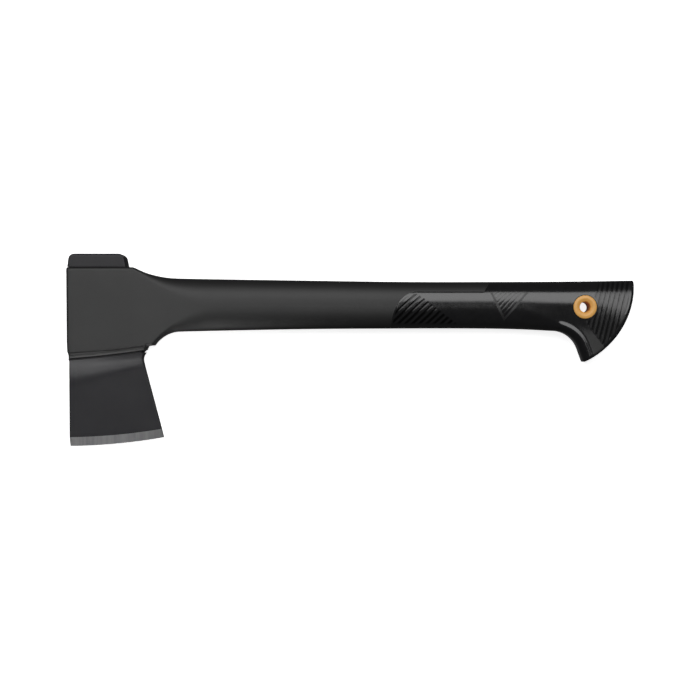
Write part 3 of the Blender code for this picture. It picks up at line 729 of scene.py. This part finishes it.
def skin_fields(x, y):
    """The skin's pressed depth in mm, the painted shade for its grooves and its matte places, at each point;
    on the hook face the matte places also carry painted reflection.
    """
    front = soft_step(-side_of(FRONT_FIELD, x, y), 0.4) * soft_step(skin_edge_distance(x, y) - 0.9, 0.4)
    front = front * soft_step(y + 12.4, 1.6)
    # Painted shade: the front field's grooves are darkened as if in shadow.
    deep, painted_groove_shade = groove(ribs_across(x, y, FRONT_LEAN, FRONT_PITCH), front)
    sunk, painted_groove_shade = FRONT_DEPTH * deep, 0.75 * painted_groove_shade

    inside = edge_distance(ARROW, x, y)
    deep, _ = groove(ribs_across(x, y, ARROW_LEAN, ARROW_PITCH), soft_step(inside - ARROW_LINE, 0.4))
    outline = soft_step(inside + 0.3, 0.3) * soft_step(ARROW_LINE + 0.3 - inside, 0.3)
    outline = outline * soft_step(ARROW[0][1] - 0.6 - y, 0.8)
    sunk = sunk + ARROW_DEPTH * deep
    matte = 0.3 * deep + 0.7 * outline

    off_rear = REAR[2] - np.hypot(x - REAR[0], y - REAR[1])
    pommel = soft_step(-side_of((BUTT_FIELD[1], BUTT_FIELD[0]), x, y), 0.4)
    pommel = pommel * soft_step(side_of((BUTT_FIELD[1], BUTT_FIELD[2]), x, y), 0.4)
    pommel = pommel * soft_step(np.hypot(x - EYE[0], y - EYE[1]) - EYE_FLANGE - 1.0, 0.4)
    pommel = pommel * soft_step(off_rear - BUTT_RIM, 0.4)
    # Painted shade in the pommel's grooves, weaker than in the front field.
    deep, pommel_groove_shade = groove(ribs_across(x, y, BUTT_LEAN, BUTT_PITCH), pommel)
    sunk, painted_groove_shade = sunk + BUTT_DEPTH * deep, painted_groove_shade + 0.35 * pommel_groove_shade
    matte = matte + 0.25 * (pommel - pommel_groove_shade)

    # Painted reflection: the hook face gets a duller finish whose lighter colour grows toward the tip,
    # standing in for the soft reflection there.
    face = soft_step(hook_distance(x, y) - LIP_OFFSET - LIP_WIDTH, 1.2)
    face = face * soft_step(-side_of((BUTT_FIELD[1], BUTT_FIELD[2]), x, y), 0.6)
    matte = matte + face * soft_step(-11.0 - y, 12.0)
    return sunk + SEAM_DROP * seam(x, y), painted_groove_shade, matte


def design_points(mesh):
    """The mesh's vertices in design-frame millimetres, and their normals."""
    count = len(mesh.vertices)
    place, normal = np.empty(count * 3), np.empty(count * 3)
    mesh.vertices.foreach_get("co", place)
    mesh.vertices.foreach_get("normal", normal)
    return (place.reshape(-1, 3) - np.array(ORIGIN)) / MM, normal.reshape(-1, 3)


def mark(mesh, name, values):
    """Stores one number for each vertex, for the materials."""
    mesh.attributes.new(name, "FLOAT", "POINT").data.foreach_set("value", values.astype(np.float32))


def make_grip():
    """Gloss skin with its ribbed fields pressed in as real relief."""
    def cut(x, depth, inset):
        return even_section(x, depth, 130)
    places = spread((202.0, 252.0, 0.3), (252.0, 266.0, 0.7), (266.0, BUTT_START_X, 0.3))
    ribs = [upright_rib(x, cut) for x in places] + butt_ribs(cut, 0.0, 190, 8)
    heel = (REAR[0] + sqrt(REAR[2] ** 2 - 4.0) - HEEL_RADIUS, back_edge(LENGTH) - HEEL_RADIUS)
    round_corner(ribs, heel, HEEL_RADIUS, (1.0, 0.0), (0.0, 1.0))
    round_tip(ribs)
    grip = ribbed_solid("grip_skin", ribs)
    design, normal = design_points(grip.data)
    sunk = skin_fields(design[:, 0], design[:, 1])[0] * soft_step(np.abs(normal[:, 2]) - 0.3, 0.25)
    pressed = to_world(design - normal * sunk[:, None])
    grip.data.vertices.foreach_set("co", pressed.ravel())
    steps = [("INTERSECT", prism("keep_grip", grip_outline(0.0))),
             ("DIFFERENCE", core_solid("grip_inside", SKIN, 400.0)),
             ("DIFFERENCE", rod("bore", EYE_TUBE + GAP, -PRISM_HALF, PRISM_HALF))]
    for low, high in ((EYE_SEAT - GAP, PRISM_HALF), (-PRISM_HALF, GAP - EYE_SEAT)):
        steps.append(("DIFFERENCE", rod("seat", EYE_FLANGE + GAP, low, high)))
    carve(grip, *steps)
    design, normal = design_points(grip.data)
    _, painted_groove_shade, matte = skin_fields(design[:, 0], design[:, 1])
    # Painted shade for the grooves, kept to the faces, stored for the grip's material.
    mark(grip.data, "painted_groove_shade", painted_groove_shade * soft_step(np.abs(normal[:, 2]) - 0.2, 0.2))
    mark(grip.data, "matte", matte)
    return grip


def eyelet_profile():
    """Closed profile of one eyelet half: bore, shallow funnel, domed crown, flange and tube."""
    mouth = (EYE_BORE + 0.15, EYE_TOP - 1.1)
    inner = [(EYE_BORE, GAP / 2.0), (EYE_BORE, mouth[1] - 0.6)]
    funnel = [(mouth[0] + 1.5 * i / 6.0, mouth[1] + 0.75 * sin(i / 6.0 * pi / 2.0)) for i in range(7)]
    crown = [(5.7 + 1.0 * cos(angle), EYE_TOP - 0.35 + 0.35 * sin(angle))
             for angle in (pi * (1.0 - i / 8.0) for i in range(1, 6))]
    rim = [(EYE_FLANGE - 0.5 + 0.5 * sin(angle), EYE_TOP - 0.7 + 0.5 * cos(angle))
           for angle in (i / 6.0 * pi / 2.0 for i in range(1, 7))]
    tube = [(EYE_FLANGE, EYE_SEAT), (EYE_TUBE, EYE_SEAT), (EYE_TUBE, GAP / 2.0)]
    return inner + funnel + crown + rim + tube


def make_eyelets():
    """The two halves of the orange eyelet."""
    profile = eyelet_profile()
    return turned("eye_ring_front", profile), turned("eye_ring_back", [(r, -z) for r, z in profile])


def edge_height(x):
    """Height of the cutting edge."""
    cx, cy, r = EDGE_ARC
    return cy - sqrt(r * r - (x - cx) ** 2)


def heel_x(y):
    """Position of the blade's heel side at a height."""
    if y > NECK_Y:
        return NECK_X + blend(y, *NECK_RISE_Y, 0.0, TONGUE_WIDEN)
    return NECK_X + (NECK_Y - y) * HEEL_SLOPE


def head_row(height_at, left, right, half_at, round_by):
    """One row of the head from its front to its heel side, with its ends rounded across the thickness."""
    places = [(left + round_by * (1.0 - cos(a)), 1.0 - sin(a)) for a in np.linspace(0.0, pi / 2.0, 5)]
    places += [(left + (right - left) * share, 0.0) for share in np.linspace(0.04, 0.96, 25)]
    places += [(right - round_by * (1.0 - cos(a)), 1.0 - sin(a)) for a in np.linspace(pi / 2.0, 0.0, 5)]
    return [(x, height_at(x), half_at(x) - min(round_by, half_at(x) * 0.5) * drawn) for x, drawn in places]


def flat_row(y, left, right, half, round_by):
    """A row of the head at one height and thickness."""
    return head_row(lambda x: y, left, right, lambda x: half, round_by)


def shoulder_row(above, left, right, half):
    """A row that follows the collar's lower rim."""
    return head_row(lambda x: collar_low(x) + above, left, right, lambda x: half, 0.6)


def poll_rows():
    """Rows of the poll, rounded at its upper corners and round its face, down to its base."""
    rows = []
    for a in np.linspace(0.0, pi / 2.0, 9):
        depth = POLL_CORNER * (1.0 - cos(a))
        share = depth / (POLL_TOP - POLL_BASE)
        left, right = (top + (base - top) * share for top, base in zip(POLL_TOP_X, POLL_BASE_X))
        drawn = POLL_CORNER * (1.0 - sin(a))
        sunk = max(POLL_ROUND - depth, 0.0)
        half = POLL_HALF - POLL_ROUND + sqrt(POLL_ROUND ** 2 - sunk ** 2)
        rows.append(flat_row(POLL_TOP - depth, left + drawn, right - drawn, half, 0.8))
    rows.append(flat_row(POLL_BASE, *POLL_BASE_X, POLL_HALF, 0.8))
    return rows


def blade_row(t, edge_share=None):
    """One row of the blade: t runs from its shoulder to the top of the bevel, edge_share over the bevel."""
    def height_at(x):
        shoulder, bevel = collar_low(x) - BLADE_GAP, edge_height(x) + BEVEL_HEIGHT
        if edge_share is None:
            return shoulder + (bevel - shoulder) * t
        return bevel + (edge_height(x) - bevel) * edge_share

    def flare(x):
        run = (collar_low(x) - BLADE_GAP) - (edge_height(x) + BEVEL_HEIGHT)
        return max(0.0, 1.0 - t * run / blend(x, 0.0, BLADE_TOP_X, FLARE_TOE, FLARE_HEEL)) ** FLARE_POWER

    def half_at(x):
        if edge_share is not None:
            return BEVEL_HALF + (EDGE_HALF - BEVEL_HALF) * edge_share
        body = BLADE_HALF + (BEVEL_HALF - BLADE_HALF) * t
        return body + (BLADE_SHOULDER_HALF - body) * flare(x)
    right = NECK_X
    for _ in range(6):
        right = heel_x(height_at(right))
    shoulder_x, blade_x, toe_x = BLADE_FRONT_X
    left = blade_x + (shoulder_x - blade_x) * flare(0.0) + (toe_x - blade_x) * (edge_share or 0.0)
    return head_row(height_at, left, right, half_at, 0.3)


def make_head():
    """Forged head: poll, tang through the wrap, blade with a hollow flare, and the ground edge."""
    rows = poll_rows()
    rows.append(flat_row(POLL_BASE, *TANG_X, TANG_HALF, 0.6))
    rows.append(shoulder_row(-0.06, *TANG_X, TANG_HALF))
    rows.append(shoulder_row(-0.06, TONGUE_X[0], TONGUE_X[1] + TONGUE_WIDEN, TONGUE_HALF))
    rows.append(shoulder_row(-BLADE_GAP, *TONGUE_X, TONGUE_HALF))
    body = [0.0, 0.004, 0.012] + [0.012 + 0.32 * (i / 24.0) ** 1.2 for i in range(1, 25)]
    body += [0.332 + 0.668 * i / 12.0 for i in range(1, 13)]
    rows += [blade_row(t) for t in body]
    coated_rows = len(rows) - 1
    rows += [blade_row(1.0, share) for share in (0.02, 0.25, 0.5, 0.75, 0.95, 1.0)]
    head = ribbed_solid("head_forging", rows)
    return head, coated_rows, len(rows[0])


def node_material(name, colour, roughness, metallic=0.0):
    """A Principled material with its uniform values set on the shader's own sockets."""
    made = bpy.data.materials.new(name)
    made.use_nodes = True
    shader = made.node_tree.nodes["Principled BSDF"]
    shader.inputs["Base Color"].default_value = (*colour, 1.0)
    shader.inputs["Roughness"].default_value = roughness
    shader.inputs["Metallic"].default_value = metallic
    return made, made.node_tree, shader


def noise(tree, scale, detail=3.0, stretch=(1.0, 1.0, 1.0), roughness=0.5):
    """Noise over the object's own coordinates: scale is in features per metre."""
    place = tree.nodes.new("ShaderNodeTexCoord")
    mapping = tree.nodes.new("ShaderNodeMapping")
    mapping.inputs["Scale"].default_value = tuple(scale * s for s in stretch)
    texture = tree.nodes.new("ShaderNodeTexNoise")
    texture.inputs["Scale"].default_value = 1.0
    texture.inputs["Detail"].default_value = detail
    texture.inputs["Roughness"].default_value = roughness
    tree.links.new(place.outputs["Object"], mapping.inputs["Vector"])
    tree.links.new(mapping.outputs["Vector"], texture.inputs["Vector"])
    return texture.outputs["Fac"]


def ramp(tree, value, low, high, first, last):
    """Maps value from low..high to first..last, as numbers or as colours."""
    if isinstance(first, tuple):
        node = tree.nodes.new("ShaderNodeValToRGB")
        node.color_ramp.elements[0].position = low
        node.color_ramp.elements[1].position = high
        node.color_ramp.elements[0].color = (*first, 1.0)
        node.color_ramp.elements[1].color = (*last, 1.0)
        tree.links.new(value, node.inputs["Fac"])
        return node.outputs["Color"]
    node = tree.nodes.new("ShaderNodeMapRange")
    for socket, number in (("From Min", low), ("From Max", high), ("To Min", first), ("To Max", last)):
        node.inputs[socket].default_value = number
    tree.links.new(value, node.inputs["Value"])
    return node.outputs["Result"]


def mix_colour(tree, factor, first, second):
    """Mixes two colour outputs or tuples."""
    node = tree.nodes.new("ShaderNodeMix")
    node.data_type = "RGBA"
    for socket, value in ((node.inputs[6], first), (node.inputs[7], second)):
        if isinstance(value, tuple):
            socket.default_value = (*value, 1.0)
        else:
            tree.links.new(value, socket)
    tree.links.new(factor, node.inputs[0])
    return node.outputs[2]


def bump(tree, shader, *layers):
    """Adds bump layers, each (height, distance in mm, strength), to the shader's normal."""
    normal = None
    for height, distance, strength in layers:
        node = tree.nodes.new("ShaderNodeBump")
        node.inputs["Distance"].default_value = distance * MM
        node.inputs["Strength"].default_value = strength
        tree.links.new(height, node.inputs["Height"])
        if normal is not None:
            tree.links.new(normal, node.inputs["Normal"])
        normal = node.outputs["Normal"]
    tree.links.new(normal, shader.inputs["Normal"])


def coated_steel():
    """Dark low-friction coating over forged steel: satin, slightly mottled, with a fine grain."""
    made, tree, shader = node_material("coated_steel", (0.02, 0.02, 0.021), 0.45, 0.0)
    shader.inputs["Specular IOR Level"].default_value = 0.31
    mottle = noise(tree, 60.0, 5.0)
    fine = noise(tree, 3200.0, 4.0)
    grain = noise(tree, 9000.0, 2.0)
    colour = ramp(tree, mottle, 0.3, 0.7, (0.0155, 0.0150, 0.0175), (0.0185, 0.0180, 0.0205))
    flecks = ramp(tree, fine, 0.68, 0.8, 0.0, 0.6)
    tree.links.new(mix_colour(tree, flecks, colour, (0.035, 0.035, 0.037)), shader.inputs["Base Color"])
    tree.links.new(ramp(tree, mottle, 0.25, 0.75, 0.42, 0.5), shader.inputs["Roughness"])
    bump(tree, shader, (mottle, 0.4, 0.2), (fine, 0.05, 0.3), (grain, 0.03, 0.25))
    return made


def ground_steel():
    """Bare steel of the ground edge, with grinding lines across it."""
    made, tree, shader = node_material("ground_steel", (0.5, 0.5, 0.51), 0.45, 1.0)
    lines = noise(tree, 2600.0, 3.0, (1.0, 0.03, 0.03))
    coarse = noise(tree, 500.0, 3.0, (1.0, 0.06, 0.06))
    tree.links.new(ramp(tree, coarse, 0.3, 0.7, (0.26, 0.26, 0.265), (0.34, 0.34, 0.345)),
                   shader.inputs["Base Color"])
    tree.links.new(ramp(tree, lines, 0.3, 0.7, 0.3, 0.42), shader.inputs["Roughness"])
    bump(tree, shader, (lines, 0.02, 0.5))
    return made


def filled_nylon():
    """Matte moulded nylon with short glass fibres just under its fine spark-eroded texture."""
    made, tree, shader = node_material("filled_nylon", (0.015, 0.015, 0.015), 0.55)
    cloud = noise(tree, 45.0, 4.0)
    fibres = noise(tree, 2600.0, 2.0, (0.25, 1.0, 1.0))
    texture = noise(tree, 5200.0, 3.0)
    pores = noise(tree, 1800.0, 2.0)
    colour = ramp(tree, cloud, 0.3, 0.7, (0.0125, 0.0125, 0.0125), (0.0155, 0.0155, 0.0155))
    flecks = ramp(tree, fibres, 0.66, 0.8, 0.0, 0.5)
    tree.links.new(mix_colour(tree, flecks, colour, (0.03, 0.03, 0.03)), shader.inputs["Base Color"])
    tree.links.new(ramp(tree, texture, 0.3, 0.7, 0.48, 0.58), shader.inputs["Roughness"])
    bump(tree, shader, (texture, 0.06, 0.35), (pores, 0.05, 0.15))
    return made


def marked(tree, name):
    """The number stored on the mesh under this name."""
    node = tree.nodes.new("ShaderNodeAttribute")
    node.attribute_name = name
    return node.outputs["Fac"]


def calculate(tree, operation, first, second, third=0.0):
    """A Math node over outputs and numbers."""
    node = tree.nodes.new("ShaderNodeMath")
    node.operation = operation
    for socket, value in zip(node.inputs, (first, second, third)):
        if isinstance(value, float):
            socket.default_value = value
        else:
            tree.links.new(value, socket)
    return node.outputs[0]


def gloss_grip():
    """Smooth glossy skin with a moulded surface's slight waviness, painted shade darkening its grooves, and
    duller places that are lighter on the hook face as painted reflection.
    """
    made, tree, shader = node_material("gloss_grip", (0.009, 0.009, 0.0095), 0.16)
    wave = noise(tree, 260.0, 2.0)
    marks = noise(tree, 900.0, 6.0, (1.0, 0.3, 1.0))
    colour = ramp(tree, wave, 0.3, 0.7, (0.0080, 0.0080, 0.0086), (0.0105, 0.0105, 0.0112))
    # Matte places get a lighter colour; on the hook face this lighter colour is painted reflection.
    colour = mix_colour(tree, marked(tree, "matte"), colour, (0.017, 0.017, 0.017))
    # Painted shade: the grooves turn near black.
    tree.links.new(mix_colour(tree, marked(tree, "painted_groove_shade"), colour, (0.002, 0.002, 0.002)),
                   shader.inputs["Base Color"])
    smooth = ramp(tree, marks, 0.3, 0.75, 0.14, 0.2)
    tree.links.new(calculate(tree, "MULTIPLY_ADD", marked(tree, "matte"), 0.36, smooth),
                   shader.inputs["Roughness"])
    # Painted shade: the grooves' reflection is dimmed as well.
    tree.links.new(calculate(tree, "MULTIPLY", marked(tree, "painted_groove_shade"), 0.8), shader.inputs["Metallic"])
    bump(tree, shader, (wave, 0.02, 0.06), (marks, 0.008, 0.12))
    return made


def orange_plastic():
    """Satin moulded orange of the eyelet, its tone varying a little at random."""
    made, tree, shader = node_material("orange_eyelet", (0.62, 0.31, 0.08), 0.4)
    cloud = noise(tree, 700.0, 3.0)
    texture = noise(tree, 6000.0, 2.0)
    tree.links.new(ramp(tree, cloud, 0.3, 0.7, (0.84, 0.43, 0.106), (0.9, 0.475, 0.124)),
                   shader.inputs["Base Color"])
    tree.links.new(ramp(tree, texture, 0.3, 0.7, 0.36, 0.46), shader.inputs["Roughness"])
    bump(tree, shader, (texture, 0.02, 0.3))
    return made


def plug_nylon():
    """Plain moulded nylon of the hidden plug."""
    made, tree, shader = node_material("plug_nylon", (0.02, 0.02, 0.02), 0.6)
    texture = noise(tree, 3000.0, 3.0)
    tree.links.new(ramp(tree, texture, 0.3, 0.7, (0.016, 0.016, 0.016), (0.024, 0.024, 0.024)),
                   shader.inputs["Base Color"])
    bump(tree, shader, (texture, 0.05, 0.3))
    return made


def dress(piece, node, slot, *materials):
    """Gives a piece its materials and body, and hides the imported part named by node; slot is not used."""
    piece.data.materials.clear()
    for item in materials:
        piece.data.materials.append(item)
    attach(piece, "root")
    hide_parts(node)


def paint_edge(head, coated_rows, count):
    """Puts the bare steel on the faces below the top of the bevel."""
    limit = coated_rows * 2 * count
    for face in head.data.polygons:
        if min(face.vertices) >= limit:
            face.material_index = 1


def area_light(name, place, target, size, strength, spread=180.0):
    """Rectangular soft light at place, facing target, with the given radiance and spread."""
    data = bpy.data.lights.new(name, "AREA")
    data.shape = "RECTANGLE"
    data.size, data.size_y = size
    data.energy = strength * size[0] * size[1] * pi
    data.spread = radians(spread)
    lamp = bpy.data.objects.new(name, data)
    bpy.context.scene.collection.objects.link(lamp)
    lamp.location = place
    lamp.visible_camera = False
    lamp.rotation_mode = "QUATERNION"
    lamp.rotation_quaternion = (Vector(target) - Vector(place)).to_track_quat("-Z", "Y")


def make_floor():
    """Plain pale floor under the hatchet, as bright as a lit studio table."""
    mesh = bpy.data.meshes.new("floor")
    side, height = 4.0, cad_low[2] - 0.0002
    edges = ((-side, -side), (side, -side), (side, side), (-side, side))
    mesh.from_pydata([(x, y, height) for x, y in edges], [], [(0, 1, 2, 3)])
    floor = new_object("floor", mesh)
    pale, tree, shader = node_material("pale_floor", (0.9, 0.9, 0.9), 0.9)
    shader.inputs["Emission Color"].default_value = (1.0, 1.0, 1.0, 1.0)
    shader.inputs["Emission Strength"].default_value = 0.85
    paper = noise(tree, 40.0, 3.0)
    tree.links.new(ramp(tree, paper, 0.3, 0.7, (0.88, 0.88, 0.88), (0.92, 0.92, 0.92)),
                   shader.inputs["Base Color"])
    mesh.materials.append(pale)
    floor.visible_glossy = False
    floor.visible_diffuse = False


def make_lights():
    """One large softbox on the poll's side, two small cards beside the blade, and a faint fill."""
    world = bpy.data.worlds.new("studio")
    world.use_nodes = True
    world.node_tree.nodes["Background"].inputs["Color"].default_value = (1.0, 1.0, 1.0, 1.0)
    world.node_tree.nodes["Background"].inputs["Strength"].default_value = 0.06
    bpy.context.scene.world = world
    area_light("softbox", (0.0, 0.49, 1.22), (0.0, 0.0, 0.0), (1.4, 0.76), 4.0)
    area_light("flare_card", (-0.175, -0.33, 0.2), (-0.165, -0.02, 0.0), (0.12, 0.28), 0.5, 40.0)
    area_light("low_card", (-0.17, -0.38, 0.04), (-0.165, -0.02, 0.01), (0.12, 0.08), 0.85, 40.0)


def make_camera():
    """Camera straight above the middle of the hatchet."""
    camera = bpy.data.cameras.new("camera")
    camera.lens = 120.83
    camera.sensor_width = 36.0
    viewer = bpy.data.objects.new("camera", camera)
    bpy.context.scene.collection.objects.link(viewer)
    viewer.location = (-0.00025, 0.0001, ORIGIN[2] + 1.5)
    bpy.context.scene.camera = viewer
    bpy.context.scene.view_settings.view_transform = "Standard"


head, coated_rows, row_count = make_head()
dress(head, "axe_head", "coated_steel", coated_steel(), ground_steel())
paint_edge(head, coated_rows, row_count)
dress(make_handle_body(), "handle_body", "filled_nylon", filled_nylon())
dress(make_grip(), "grip_overmould", "gloss_grip", gloss_grip())
orange = orange_plastic()
ring_front, ring_back = make_eyelets()
dress(ring_front, "eyelet_front", "orange_eyelet", orange)
dress(ring_back, "eyelet_back", "orange_eyelet", orange)
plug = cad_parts["butt_plug"]
plug.material_slots[0].material = plug_nylon()
make_floor()
make_lights()
make_camera()
